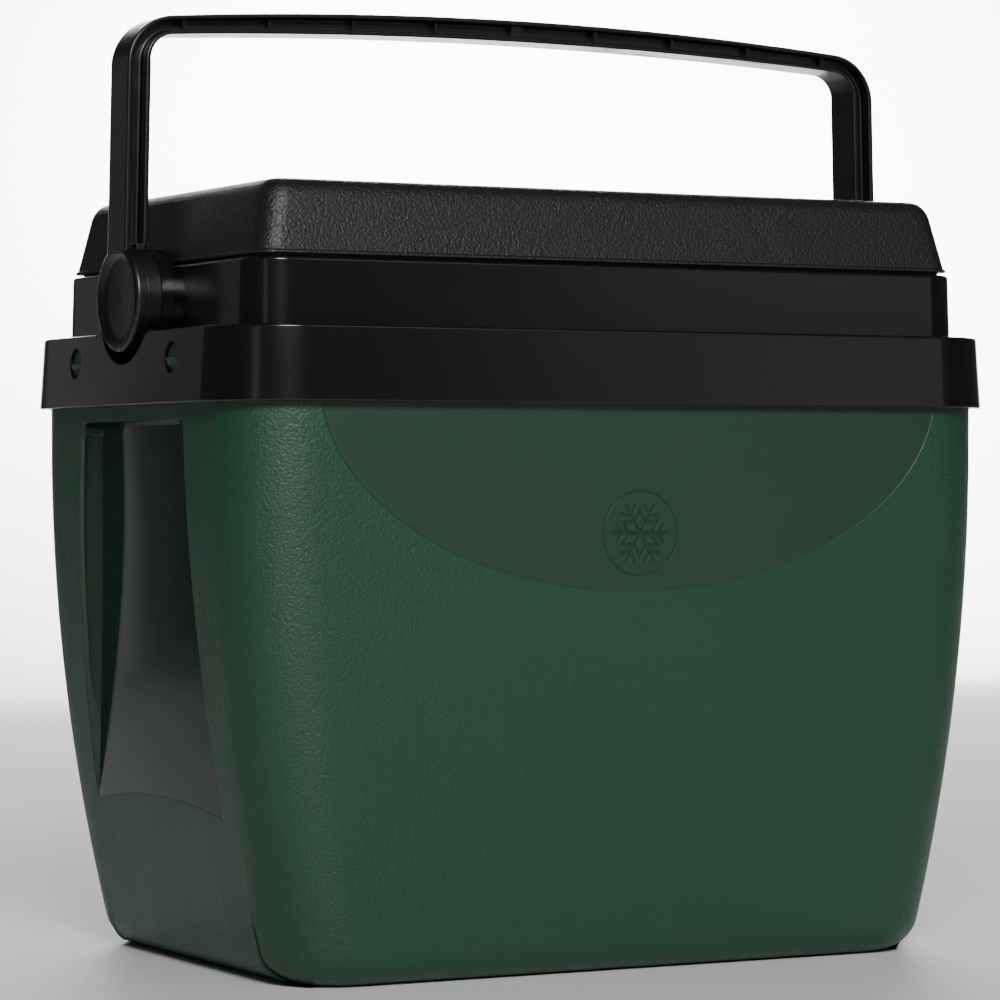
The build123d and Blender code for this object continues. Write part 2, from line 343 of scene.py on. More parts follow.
def grained_black(name, colours):
    """Black moulding with a coarse leather grain, its pebbles painted lighter as sheen."""
    shader = Shader(name)
    grain = leather_grain(shader, 1.3 * MM)
    # painted sheen: the grain's pebbles are lighter than its creases
    tone = shader.mix(grain * 0.7, colours.black, [c * 2.6 for c in colours.black])
    patches = shader.noise(11.0, detail=3.0)
    rough = 0.36 + patches * 0.10 + (1.0 - grain) * 0.08
    relief = shader.bump(grain, 0.48 * MM, 1.0)
    return shader.finish(tone, rough, relief, IOR=1.49)


def satin_black(name, colours):
    """Satin black moulding with a fine frost and paler rubbed patches."""
    shader = Shader(name)
    frost = shader.noise(1500.0, detail=2.0)
    rubbed = shader.noise(28.0, detail=4.0, roughness=0.65).step(0.52, 0.72)
    tone = shader.mix(rubbed * 0.5, colours.black, [c * 1.7 for c in colours.black])
    rough = 0.27 + rubbed * 0.08 + frost * 0.06
    relief = shader.bump(frost, 0.02 * MM, 0.5)
    relief = shader.bump(shader.noise(20.0, detail=1.0), 0.8 * MM, 0.15, relief)
    return shader.finish(tone, rough, relief, IOR=1.49)


def white_liner(name, colours):
    """Smooth white food-safe moulding, very slightly wavy."""
    shader = Shader(name)
    cloud = shader.noise(12.0, detail=3.0)
    tone = shader.mix(cloud * 0.5, colours.liner, [c * 0.93 for c in colours.liner])
    scuffs = shader.noise(90.0, detail=4.0)
    relief = shader.bump(shader.noise(10.0, detail=1.0), 1.5 * MM, 0.15)
    return shader.finish(tone, 0.26 + scuffs * 0.14, relief, IOR=1.49)


def beaded_foam(name, colours):
    """White expanded foam pressed from round beads, each painted darker towards its edge as shade between the
    beads.
    """
    shader = Shader(name)
    beads = shader.cells(230.0)
    # painted shade: each bead darkens towards the seams between the beads
    tone = shader.mix(beads, colours.foam, [c * 0.8 for c in colours.foam])
    relief = shader.bump(1.0 - beads, 0.7 * MM, 0.7)
    return shader.finish(tone, 0.75 + beads * 0.1, relief)


# ---------------------------------------------------------------- shapes


def soften(corners, closed=False, steps=5):
    """The points of a line whose corners are rounded. Each corner is (across, up, radius)."""
    path = []
    for index, (across, up, radius) in enumerate(corners):
        here = np.array((across, up), float)
        at_end = not closed and index in (0, len(corners) - 1)
        if radius <= 0 or at_end:
            path.append(here)
            continue
        before = np.array(corners[index - 1][:2], float) - here
        after = np.array(corners[(index + 1) % len(corners)][:2], float) - here
        before /= np.linalg.norm(before)
        after /= np.linalg.norm(after)
        half = math.acos(float(np.clip(before @ after, -1, 1))) / 2
        reach = radius / math.tan(half)
        middle = here + (before + after) / np.linalg.norm(before + after) * radius / math.sin(half)
        first = here + before * reach - middle
        last = here + after * reach - middle
        start = math.atan2(first[1], first[0])
        turn = math.remainder(math.atan2(last[1], last[0]) - start, math.tau)
        path.append(here + before * (reach + 0.2 * radius))
        for step in range(steps + 1):
            angle = start + turn * step / steps
            path.append(middle + radius * np.array((math.cos(angle), math.sin(angle))))
        path.append(here + after * (reach + 0.2 * radius))
    return path


def outline(half_x, half_y, radius, counts=(24, 16, 10), ends=None):
    """A rounded rectangle, counter-clockwise. The short sides' points may be given by their y."""
    long_steps, short_steps, corner_steps = counts
    core_x = half_x - radius
    core_y = half_y - radius
    if ends is None:
        ends = np.linspace(-core_y, core_y, short_steps + 1)[1:-1]
    long_side = np.linspace(-core_x, core_x, long_steps + 1)[1:-1]
    sides = (
        [(x, half_y) for x in long_side[::-1]],
        [(-half_x, y) for y in ends[::-1]],
        [(x, -half_y) for x in long_side],
        [(half_x, y) for y in ends],
    )
    points = []
    middles = ((core_x, core_y), (-core_x, core_y), (-core_x, -core_y), (core_x, -core_y))
    for quarter, (middle_x, middle_y) in enumerate(middles):
        for step in range(corner_steps + 1):
            angle = (quarter + step / corner_steps) * math.pi / 2
            points.append((middle_x + radius * math.cos(angle), middle_y + radius * math.sin(angle)))
        points += sides[quarter]
    return np.array(points)


def level(flat, height):
    """A ring of plan points at one height, or at one height each."""
    return np.column_stack([flat, np.broadcast_to(height, len(flat))])


def wrap(rings):
    """Points and faces of a closed skin over rings of equal length, ended by a flat face each."""
    count = len(rings[0])
    faces = []
    for ring in range(len(rings) - 1):
        for index in range(count):
            near = ring * count + index
            far = ring * count + (index + 1) % count
            faces.append((near, far, far + count, near + count))
    top = (len(rings) - 1) * count
    faces.append(tuple(reversed(range(count))))
    faces.append(tuple(range(top, top + count)))
    return np.concatenate(rings), faces


def new_piece(name, points, faces, sharp=38.0):
    """A smooth-shaded mesh object with its place in its mesh."""
    mesh = bpy.data.meshes.new(name)
    mesh.from_pydata([tuple(point) for point in points], [], faces)
    return placed(name, mesh, sharp)


def placed(name, mesh, sharp=38.0):
    mesh.validate()
    mesh.shade_smooth()
    mesh.set_sharp_from_angle(angle=math.radians(sharp))
    piece = bpy.data.objects.new(name, mesh)
    bpy.context.scene.collection.objects.link(piece)
    return piece


def settle(piece, material, body, slot, *nodes):
    """Gives a finished piece its material and body and hides the nodes it stands for; its record slot is not
    used.
    """
    piece.data.materials.clear()
    piece.data.materials.append(material)
    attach(piece, body)
    if nodes:
        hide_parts(*nodes)
    return piece


def repaint(node, material):
    """A CAD node keeps its shape and gets a better material."""
    slots = frame["nodes"][node].material_slots
    for slot in slots:
        slot.material = material
    if not slots:
        frame["nodes"][node].data.materials.append(material)


# ---------------------------------------------------------------- outer shell

LONG_BOW = 0.48  # inward curve of the end walls below the knee, per metre of drop squared
DEEP_BOW = 0.13  # the same for the front and back walls
RECESS_FLARE = 0.075  # widening of each side of the recess per unit of depth below its top
RECESS_LEAN = 0.0978  # outward curve of the recess's floor above its foot
RECESS_FOOT = 75 * MM
FOOT_ARC = 5 * MM  # rise of the mesh rows in the middle of the recess's foot
FLOOR_BOW = 0.8 * MM  # how much the floor bulges in the middle, over FLOOR_REACH
FLOOR_REACH = 65 * MM
NOTCH_HALF = 34 * MM  # the notch behind each hub
NOTCH_FOOT = 284 * MM
NOTCH_DEPTH = 15.5 * MM
DIMPLE_HALVES = (130 * MM, 80 * MM)  # the shallow hollow underneath
DIMPLE_CORNER = 18 * MM
DIMPLE_DEPTH = 1 * MM
ROW_PITCH = 4 * MM  # between two rows of the walls
WALL_STEPS = (-9, -4.5, -1.6, -0.5, 0, 0.25, 0.6, 1.0, 1.7, 2.4, 5.0)  # mm into the recess from its edge
EDGE_DEPTHS = (0, 0.02, 0.1, 0.3, 1.0)  # share of the depth reached over the rounded edge
EDGE_STEPS = (0, 0.25, 0.6, 1.0, 1.7)  # mm from the edge at which they are reached
FLOOR_COLUMNS = 17
END_COUNT = 2 * len(WALL_STEPS) + FLOOR_COLUMNS


def wall_halves(sizes, height):
    """Half length and half depth of the shell: upright above the knee, curved in below."""
    drop = np.maximum(sizes.knee - height, 0.0)
    return sizes.half_length - LONG_BOW * drop * drop, sizes.half_depth - DEEP_BOW * drop * drop


def recess_floor(sizes, y, height):
    """Distance of the recess's floor from the middle: it leans out upwards and bulges a little."""
    lean = RECESS_LEAN * (height - RECESS_FOOT) ** 2
    return sizes.recess_floor + lean - FLOOR_BOW * (y / FLOOR_REACH) ** 2


def recess_edge(sizes, height, grow):
    """Half width of the recess's outline at a height."""
    below = sizes.recess_top + grow - height
    turn = max(sizes.recess_corner - below, 0.0)
    rounded = math.sqrt(max(sizes.recess_corner ** 2 - turn ** 2, 0.0))
    return sizes.recess_half + grow + RECESS_FLARE * below - sizes.recess_corner + rounded


def recess_depth(sizes, y, height, grow):
    """How far the hand recess lies below the end wall at each point."""
    below = sizes.recess_top + grow - height
    aside = sizes.recess_half + grow + RECESS_FLARE * below - np.abs(y)
    corner = sizes.recess_corner
    turned_in = np.hypot(np.maximum(corner - below, 0), np.maximum(corner - aside, 0))
    share = np.interp(corner - turned_in, np.array(EDGE_STEPS) * MM, EDGE_DEPTHS)
    gap = wall_halves(sizes, height)[0] - recess_floor(sizes, y, height)
    return np.maximum(gap, 0.0) * share


def shell_ring(sizes, height, inset):
    """One ring of the shell, its end walls sunk into the hand recesses and the hub notches."""
    half_x, half_y = wall_halves(sizes, height)
    edge = recess_edge(sizes, height, inset)
    sides = [edge - step * MM for step in WALL_STEPS]
    inner = sides[-1]
    between = np.linspace(-inner, inner, FLOOR_COLUMNS + 2)[1:-1]
    ends = [-side for side in sides] + [*between] + sides[::-1]
    flat = outline(half_x - inset, half_y - inset, max(sizes.corner - inset, 2 * MM), ends=ends)
    y = flat[:, 1]
    at_end = np.abs(flat[:, 0]) > half_x - inset - 0.01 * MM
    arc = np.clip(1 - (y / edge) ** 2, 0, 1) * FOOT_ARC * at_end
    near = max(0.0, 1 - abs(height - RECESS_FOOT) / (30 * MM))
    heights = height + arc * near * (inset < sizes.wall)
    moved = wall_halves(sizes, heights)[0] - half_x
    depth = recess_depth(sizes, y, heights, inset) - moved
    if height > NOTCH_FOOT:
        depth = np.where(np.abs(y) < NOTCH_HALF, NOTCH_DEPTH, 0.0)
    flat[:, 0] -= np.sign(flat[:, 0]) * depth * at_end
    return level(flat, heights)


class COOLER_OT_outer_shell(bpy.types.Operator):
    """Builds the green shell: curved walls, rounded foot, hand recesses and the smooth front panel"""

    bl_idname = "cooler.outer_shell"
    bl_label = "Outer shell"

    def execute(self, context):
        sizes = context.scene.cooler_body
        colours = context.scene.cooler_colours
        top = shell_box[1].z
        foot = sizes.foot_round
        straight = DIMPLE_HALVES[1] - DIMPLE_CORNER
        ends = np.linspace(-straight + 2 * MM, straight - 2 * MM, END_COUNT)
        hollow = outline(*DIMPLE_HALVES, DIMPLE_CORNER, ends=ends)
        rings = [level(hollow, DIMPLE_DEPTH), level(hollow, 0.0)]
        plan = [
            (foot - foot * math.cos(angle), foot - foot * math.sin(angle))
            for angle in np.linspace(0, math.pi / 2, 9)
        ]
        lower = np.arange(foot + ROW_PITCH, sizes.recess_top - 11 * MM, ROW_PITCH)
        heights = [*lower, RECESS_FOOT - 1 * MM, RECESS_FOOT, RECESS_FOOT + 1 * MM]
        angles = np.linspace(0, 1.45, 11)
        heights += [sizes.recess_top - sizes.recess_corner * (1 - math.sin(angle)) for angle in angles]
        heights += [sizes.recess_top + step * MM for step in (-0.6, 0, 0.4, 1.2, 3, 8)]
        heights += [NOTCH_FOOT - 0.5 * MM, NOTCH_FOOT + 0.5 * MM, top - 0.5 * MM]
        plan += [(height, 0.0) for height in sorted(heights)]
        plan += [(top, 0.5 * MM), (top, sizes.wall)]
        plan += [(height, sizes.wall) for height in sorted(heights, reverse=True)]
        plan += [(foot, sizes.wall), (foot / 2, foot / 2), (sizes.wall, foot)]
        rings += [shell_ring(sizes, height, inset) for height, inset in plan]
        piece = new_piece("cooler_shell", *wrap(rings), sharp=32.0)
        settle(piece, green_plastic("green_plastic", sizes, colours), "chest", "shell_green", "outer_shell")
        return {"FINISHED"}


class COOLER_OT_snap_catches(bpy.types.Operator):
    """Builds the four green snap catches that show in the collar's round holes"""

    bl_idname = "cooler.snap_catches"
    bl_label = "Snap catches"

    def execute(self, context):
        sizes = context.scene.cooler_body
        colours = context.scene.cooler_colours
        catch = catch_mesh()
        places = bpy.data.meshes.new("catch_places")
        spots = [
            (side * sizes.half_length, row * sizes.catch_spread, sizes.catch_height)
            for side in (-1, 1)
            for row in (-1, 1)
        ]
        places.from_pydata(spots, [], [])
        holder = bpy.data.objects.new("catch_places", places)
        context.scene.collection.objects.link(holder)
        material = green_plastic("green_catch", sizes, colours)
        mesh = grown(holder, catch_tree(catch, material), {})
        piece = placed("snap_catches", mesh)
        bpy.data.objects.remove(catch)
        settle(piece, material, "chest", "shell_green")
        return {"FINISHED"}


CATCH_RADIUS = 6.7 * MM
CATCH_ROWS = 12
CATCH_EDGE = 0.25 * MM  # least half width, where the round outline closes
CATCH_BACK = -1.5 * MM
CATCH_PARTS = (  # each part's span in radii, and how far it stands out at its foot and head
    (-1.0, 0.0, 2.4 * MM, 3.9 * MM),
    (0.04, 1.0, 2.8 * MM, 2.2 * MM),
)


def catch_mesh():
    """One catch at the origin, facing +X: a wedge below, a thinner tongue set back above."""
    points = []
    faces = []
    for low, high, out_low, out_high in CATCH_PARTS:
        ups = CATCH_RADIUS * np.linspace(low, high, CATCH_ROWS + 1)
        wides = np.sqrt(np.maximum(CATCH_RADIUS ** 2 - ups ** 2, CATCH_EDGE ** 2))
        outs = np.linspace(out_low, out_high, CATCH_ROWS + 1)
        right = np.column_stack([outs, wides, ups])
        front = np.concatenate([right, (right * (1, -1, 1))[::-1]])
        back = front.copy()
        back[:, 0] = CATCH_BACK
        more, quads = wrap([back, front])
        base = len(points)
        points += list(more)
        faces += [tuple(base + index for index in quad) for quad in quads]
    return new_piece("catch_master", points, faces, sharp=30.0)


# ---------------------------------------------------------------- geometry nodes


class Growth:
    """A Geometry Nodes tree with named inputs, built one node at a time."""

    def __init__(self, name, sizes):
        self.tree = bpy.data.node_groups.new(name, "GeometryNodeTree")
        sockets = self.tree.interface
        sockets.new_socket("Geometry", in_out="INPUT", socket_type="NodeSocketGeometry")
        for label in sizes:
            sockets.new_socket(label, in_out="INPUT", socket_type="NodeSocketFloat")
        sockets.new_socket("Geometry", in_out="OUTPUT", socket_type="NodeSocketGeometry")
        self.inputs = self.make("NodeGroupInput")

    def size(self, label):
        return self.inputs.outputs[label]

    def make(self, kind, settings=None, values=None):
        made = self.tree.nodes.new(kind)
        for key, value in (settings or {}).items():
            setattr(made, key, value)
        self.feed(made, values or {})
        return made

    def feed(self, node, values):
        """Sets or links a node's sockets. A list links several sockets to one."""
        for key, value in values.items():
            for single in value if isinstance(value, list) else [value]:
                if isinstance(single, bpy.types.NodeSocket):
                    self.tree.links.new(single, node.inputs[key])
                else:
                    node.inputs[key].default_value = single

    def add(self, kind, settings=None, values=None, out=0):
        """The output socket of a new node."""
        return self.make(kind, settings, values).outputs[out]

    def combined(self, x=0.0, y=0.0, z=0.0):
        return self.add("ShaderNodeCombineXYZ", values={0: x, 1: y, 2: z})

    def part(self, vector, axis=0):
        return self.add("ShaderNodeSeparateXYZ", values={0: vector}, out=axis)

    def maths(self, operation, first, second=0.0):
        return self.add("ShaderNodeMath", {"operation": operation}, {0: first, 1: second})

    def vector(self, operation, first, second=(0.0, 0.0, 0.0), out=0):
        return self.add("ShaderNodeVectorMath", {"operation": operation}, {0: first, 1: second}, out)

    def close(self, geometry, material):
        """Ends the tree in Realize Instances and Set Material."""
        real = self.add("GeometryNodeRealizeInstances", values={0: geometry})
        painted = self.add("GeometryNodeSetMaterial", values={"Geometry": real, "Material": material})
        self.make("NodeGroupOutput", values={0: painted})
        return self.tree


def grown(holder, tree, sizes):
    """The plain mesh that a tree makes from its holder, which is then removed."""
    modifier = holder.modifiers.new("grow", "NODES")
    modifier.node_group = tree
    for item in tree.interface.items_tree:
        if item.in_out == "INPUT" and item.name in sizes:
            modifier[item.identifier] = sizes[item.name]
    context = bpy.context
    context.view_layer.update()
    evaluated = holder.evaluated_get(context.evaluated_depsgraph_get())
    mesh = bpy.data.meshes.new_from_object(evaluated)
    holder.modifiers.remove(modifier)
    bpy.data.objects.remove(holder)
    return mesh


def catch_tree(catch, material):
    """A catch on every point, those of the -X end turned round."""
    growth = Growth("catches", [])
    info = growth.add("GeometryNodeObjectInfo", values={"Object": catch}, out="Geometry")
    place = growth.add("GeometryNodeInputPosition")
    left = growth.maths("LESS_THAN", growth.part(place), 0.0)
    turn = growth.combined(z=growth.maths("MULTIPLY", left, math.pi))
    copies = growth.add(
        "GeometryNodeInstanceOnPoints",
        values={"Points": growth.size("Geometry"), "Instance": info, "Rotation": turn},
    )
    return growth.close(copies, material)


# ---------------------------------------------------------------- lid


class COOLER_OT_lid(bpy.types.Operator):
    """Builds the grained lid cover with its sloping flanks, foot lip and slightly crowned top"""

    bl_idname = "cooler.lid"
    bl_label = "Lid cover"

    def execute(self, context):
        sizes = context.scene.cooler_lid
        colours = context.scene.cooler_colours
        low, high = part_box("lid_cover")
        half_x = high.x + sizes.overhang
        half_y = high.y + sizes.overhang
        top = high.z
        lean = sizes.lean + sizes.lip
        inner = sizes.wall + sizes.lip
        section = [
            (lean + sizes.wall, top - sizes.wall, 0),
            (inner, low.z, 0.4 * MM),
            (0.0, low.z, 0.5 * MM),
            (0.1 * MM, low.z + sizes.lip_height, 0.6 * MM),
            (sizes.lip + 0.2 * MM, low.z + sizes.lip_height + 0.5 * MM, 0.4 * MM),
            (lean, top, sizes.edge_round),
            (lean + 14 * MM, top, 0),
        ]
        rings = []
        for inset, height in soften(section):
            radius = max(sizes.corner - max(inset - lean, 0.0), 2 * MM)
            ring = outline(half_x - inset, half_y - inset, radius)
            rings.append(level(ring, height))
        last = rings[-1]
        for share in (0.94, 0.85, 0.72, 0.56, 0.38, 0.2, 0.06):
            flat = last[:, :2] * share
            rise = (1 - (flat[:, 0] / half_x) ** 2) * (1 - (flat[:, 1] / half_y) ** 2)
            edge = (1 - (last[:, 0] / half_x) ** 2) * (1 - (last[:, 1] / half_y) ** 2)
            rings.append(level(flat, top + sizes.crown * (rise - edge)))
        piece = new_piece("lid_top", *wrap(rings), sharp=50.0)
        settle(piece, grained_black("grained_black", colours), "lid", "lid_black", "lid_cover")
        return {"FINISHED"}


# ---------------------------------------------------------------- handle

ARCH = 0.215  # drop of the grip's top per metre from the middle squared
ARCH_EASE = 0.0235  # how much flatter the grip's middle line is
ARM_FOOT = 345 * MM
ARM_LEAN = 2.4 * MM  # how far an arm leans in from hub to corner
ARM_OVERLAP = 4.5 * MM  # how far an arm reaches into its hub
GRIP_REACH = 168  # mm from the middle to where the corners begin
GRIP_PITCH = 12  # mm between two points of the grip
GRIP_SLIMMING = 3.9  # how much thinner the grip gets away from the middle
RIB_COUNT = 9
RIB_TALL = 5.6 * MM
RIB_DROP = 5.0 * MM  # from the grip's top to the ribs' middle
MIDDLE_RIB_EXTRA = (3.6, 0.25)  # extra width and height of the middle rib, in shares
BORE = 7.05 * MM
SEAT_RADIUS = 12 * MM  # the pin head's seat in the hub
SEAT_DEPTH = 2.3 * MM
HUB_LENGTH = 13.6 * MM
CAP_GAP = 0.1 * MM  # between a hub and its cap
RIM_GAP = 0.15 * MM  # how far the hub stands back from the cap's rim
FOOT_OVERHANG = 1.5 * MM  # how far an arm's foot reaches inwards


def bar_path(sizes):
    """Middle line of the handle in the XZ plane, from the left hub over the grip to the right hub."""
    pivot = swing["pos_m"][2]
    top = bail_box[1].z
    reach = bail_box[1].x
    low_x = reach - sizes.half_section
    high_x = low_x - ARM_LEAN
    sag = ARCH - ARCH_EASE

    def grip(x):
        return top - sizes.grip_half_section - sag * x * x

    corner_z = grip(high_x)
    spots = range(-GRIP_REACH, GRIP_REACH + 1, GRIP_PITCH)
    middle = [(x * MM, grip(x * MM), 0) for x in spots]
    left = [(-low_x, pivot + sizes.hub_radius - ARM_OVERLAP, 0), (-high_x, corner_z, sizes.corner)]
    right = [(-x, z, radius) for x, z, radius in reversed(left)]
    return soften(left + middle + right, steps=14)


def bar_section(sizes):
    """Closed outline of the bar: two flanges joined by a web, all edges rounded."""
    thick = sizes.half_section
    deep = sizes.half_depth
    step = thick - sizes.flange
    edge = 0.9 * MM
    root = 1.0 * MM
    quarter = [(thick, deep, edge), (step, deep, edge), (step, sizes.web, root)]
    mirrored = [(-n, y, radius) for n, y, radius in reversed(quarter)]
    upper = quarter + mirrored
    lower = [(-n, -y, radius) for n, y, radius in upper]
    return soften(upper + lower, closed=True, steps=3)


def curve_object(name, points, closed):
    """A straight-run curve through points, used as a path or a section."""
    curve = bpy.data.curves.new(name, "CURVE")
    curve.dimensions = "3D"
    spline = curve.splines.new("POLY")
    spline.points.add(len(points) - 1)
    spline.points.foreach_set("co", [value for point in points for value in (*point, 1.0)])
    spline.use_cyclic_u = closed
    made = bpy.data.objects.new(name, curve)
    bpy.context.scene.collection.objects.link(made)
    return made


def swept(growth, path, section):
    """A section carried along a path in the XZ plane, its second axis always along Y."""
    steady = growth.add(
        "GeometryNodeSetCurveNormal",
        values={"Curve": path, "Normal": (0.0, 1.0, 0.0)},
        settings={"mode": "FREE"},
    )
    return growth.add(
        "GeometryNodeCurveToMesh", values={"Curve": steady, "Profile Curve": section, "Fill Caps": True}
    )


def bail_tree(section, material):
    """The channel bar on its path, thinned along the grip, with its ribs."""
    growth = Growth("bail", ["Slimming", "Rib pitch", "Rib width", "Rib height", "Rib depth", "Arch", "Top"])
    path = growth.size("Geometry")
    spot = growth.add("GeometryNodeInputPosition")
    tangent = growth.add("GeometryNodeInputTangent")
    kept = growth.make("GeometryNodeCaptureAttribute")
    kept.capture_items.new("VECTOR", "middle")
    kept.capture_items.new("VECTOR", "along")
    growth.feed(kept, {"Geometry": path, "middle": spot, "along": tangent})
    shape = growth.add("GeometryNodeObjectInfo", values={"Object": section}, out="Geometry")
    bar = swept(growth, kept.outputs["Geometry"], shape)
    middle = kept.outputs["middle"]
    across = growth.vector("CROSS_PRODUCT", kept.outputs["along"], (0.0, 1.0, 0.0))
    offset = growth.vector("SUBTRACT", spot, middle)
    amount = growth.vector("DOT_PRODUCT", offset, across, out="Value")
    upward = growth.maths("ABSOLUTE", growth.part(across, 2))
    x = growth.part(middle)
    spread = growth.maths("MULTIPLY", growth.maths("MULTIPLY", x, x), GRIP_SLIMMING)
    share = growth.maths("MULTIPLY", upward, growth.maths("ADD", growth.size("Slimming"), spread))
    shrink = growth.maths("MULTIPLY", amount, growth.maths("MULTIPLY", share, -1.0))
    move = growth.add("ShaderNodeVectorMath", {"operation": "SCALE"}, {0: across, "Scale": shrink})
    slim = growth.add("GeometryNodeSetPosition", values={"Geometry": bar, "Offset": move})
    ribs = rib_rows(growth)
    both = growth.add("GeometryNodeJoinGeometry", values={0: [slim, ribs]})
    return growth.close(both, material)


def rib_rows(growth):
    """Small ribs across the channel, one every pitch along the grip, and a broad one in the middle."""
    pitch = growth.size("Rib pitch")
    start = growth.combined(x=growth.maths("MULTIPLY", pitch, -0.5 * (RIB_COUNT - 1)))
    sizes = {"Count": RIB_COUNT, "Start Location": start, "Offset": growth.combined(x=pitch)}
    line = growth.add("GeometryNodeMeshLine", {"mode": "OFFSET"}, sizes)
    x = growth.part(growth.add("GeometryNodeInputPosition"))
    drop = growth.maths("MULTIPLY", growth.maths("MULTIPLY", x, x), growth.size("Arch"))
    lift = growth.combined(z=growth.maths("SUBTRACT", growth.size("Top"), drop))
    arched = growth.add("GeometryNodeSetPosition", values={"Geometry": line, "Offset": lift})
    size = growth.combined(growth.size("Rib width"), growth.size("Rib depth"), growth.size("Rib height"))
    block = growth.add("GeometryNodeMeshCube", values={"Size": size})
    is_middle = growth.maths("LESS_THAN", growth.maths("ABSOLUTE", x), 1 * MM)
    wide = growth.maths("ADD", 1.0, growth.maths("MULTIPLY", is_middle, MIDDLE_RIB_EXTRA[0]))
    tall = growth.maths("ADD", 1.0, growth.maths("MULTIPLY", is_middle, MIDDLE_RIB_EXTRA[1]))
    values = {"Points": arched, "Instance": block, "Scale": growth.combined(wide, 1.0, tall)}
    return growth.add("GeometryNodeInstanceOnPoints", values=values)


def turned(name, section, side, pivot, segments=96):
    """A closed ring turned round the pivot axis. The section is (radius, distance from the middle)."""
    rings = []
    for step in range(segments):
        angle = side * math.tau * step / segments
        rings.append([(side * x, r * math.sin(angle), pivot + r * math.cos(angle)) for r, x in section])
    count = len(section)
    points = [point for ring in rings for point in ring]
    faces = []
    for step in range(segments):
        follower = (step + 1) % segments
        for index in range(count):
            after = (index + 1) % count
            faces.append(
                (
                    step * count + index,
                    step * count + after,
                    follower * count + after,
                    follower * count + index,
                )
            )
    return new_piece(name, points, faces, sharp=40.0)


def rounded_block(name, low, high, radius):
    """A block with all edges rounded, from its lowest to its highest corner."""
    size = Vector(high) - Vector(low)
    middle = (Vector(high) + Vector(low)) / 2
    rings = []
    profile = soften([(radius * 1.5, 0, 0), (0, 0, radius), (0, size.z, radius), (radius * 1.5, size.z, 0)])
    for inset, height in profile:
        ring = outline(size.x / 2 - inset, size.y / 2 - inset, max(radius * 1.2 - inset, 0.1 * MM), (2, 2, 4))
        rings.append(level(ring, height))
    points, faces = wrap(rings)
    points = points + np.array((middle.x, middle.y, low[2]))
    return new_piece(name, points, faces, sharp=40.0)


def joined(name, pieces):
    """Several pieces made into one mesh object."""
    points = []
    faces = []
    for piece in pieces:
        base = len(points)
        points += [tuple(vertex.co) for vertex in piece.data.vertices]
        faces += [tuple(base + index for index in face.vertices) for face in piece.data.polygons]
        bpy.data.objects.remove(piece)
    return new_piece(name, points, faces, sharp=38.0)


class COOLER_OT_handle(bpy.types.Operator):
    """Builds the swing handle: channel bar, ribs, arm feet and the hub behind each cap"""

    bl_idname = "cooler.handle"
    bl_label = "Swing handle"

    def execute(self, context):
        sizes = context.scene.cooler_handle
        colours = context.scene.cooler_colours
        pivot = swing["pos_m"][2]
        top = bail_box[1].z
        material = satin_black("satin_black", colours)
        path = curve_object("bar_path", [(x, 0.0, z) for x, z in bar_path(sizes)], closed=False)
        section = curve_object("bar_section", [(y, n, 0.0) for n, y in bar_section(sizes)], closed=True)
        tree = bail_tree(section, material)
        values = {
            "Slimming": 1 - sizes.grip_half_section / sizes.half_section,
            "Rib pitch": sizes.rib_pitch,
            "Rib width": sizes.rib_width,
            "Rib height": RIB_TALL,
            "Rib depth": 2 * sizes.half_depth - RIB_TALL,
            "Arch": ARCH,
            "Top": top - RIB_DROP,
        }
        pieces = [placed("bar", grown(path, tree, values))]
        outer = bail_box[1].x
        inner = outer - 2 * sizes.half_section - FOOT_OVERHANG
        face = outer - sizes.cap_depth - CAP_GAP
        back = -bail_box[0].x - HUB_LENGTH
        rim = sizes.hub_radius - RIM_GAP
        hub = [
            (BORE, back, 0),
            (rim, back, 0.8 * MM),
            (rim, face, 0.3 * MM),
            (SEAT_RADIUS, face, 0),
            (SEAT_RADIUS, face - SEAT_DEPTH, 0),
            (BORE, face - SEAT_DEPTH, 0),
        ]
        for side in (-1, 1):
            ends = sorted((side * inner, side * face))
            low = (ends[0], -sizes.half_depth, pivot + 10 * MM)
            high = (ends[1], sizes.half_depth, ARM_FOOT)
            pieces.append(rounded_block("foot", low, high, 0.8 * MM))
            pieces.append(turned("hub", soften(hub, True, 4), side, pivot))
        bpy.data.objects.remove(section)
        piece = joined("swing_handle", pieces)
        settle(piece, material, "handle", "handle_black", "handle_bail")
        return {"FINISHED"}


class COOLER_OT_hub_caps(bpy.types.Operator):
    """Builds the dished cap with its soft raised rim on each hub"""

    bl_idname = "cooler.hub_caps"
    bl_label = "Hub caps"

    def execute(self, context):
        sizes = context.scene.cooler_handle
        colours = context.scene.cooler_colours
        pivot = swing["pos_m"][2]
        outer = bail_box[1].x
        back = outer - sizes.cap_depth
        radius = sizes.hub_radius
        dish = outer - 3.1 * MM
        for side, node in ((-1, "hub_cap_left"), (1, "hub_cap_right")):
            section = [
                (0.05 * MM, back, 0),
                (radius, back, 0.4 * MM),
                (radius, outer - 0.9 * MM, 2.2 * MM),
                (radius - 2.6 * MM, outer + 0.25 * MM, 1.8 * MM),
                (radius - 7.0 * MM, dish + 0.8 * MM, 5.0 * MM),
                (0.05 * MM, dish, 0),
            ]
            piece = turned(node.replace("hub_cap", "round_cap"), soften(section, True, 7), side, pivot)
            settle(piece, satin_black("satin_cap", colours), "handle", "cap_black", node)
        return {"FINISHED"}


# ---------------------------------------------------------------- carried-over mouldings


class COOLER_OT_collar(bpy.types.Operator):
    """Gives the two-step collar its polished black finish"""

    bl_idname = "cooler.collar"
    bl_label = "Collar"

    def execute(self, context):
        repaint("collar", glossy_black("glossy_black", context.scene.cooler_colours))
        return {"FINISHED"}


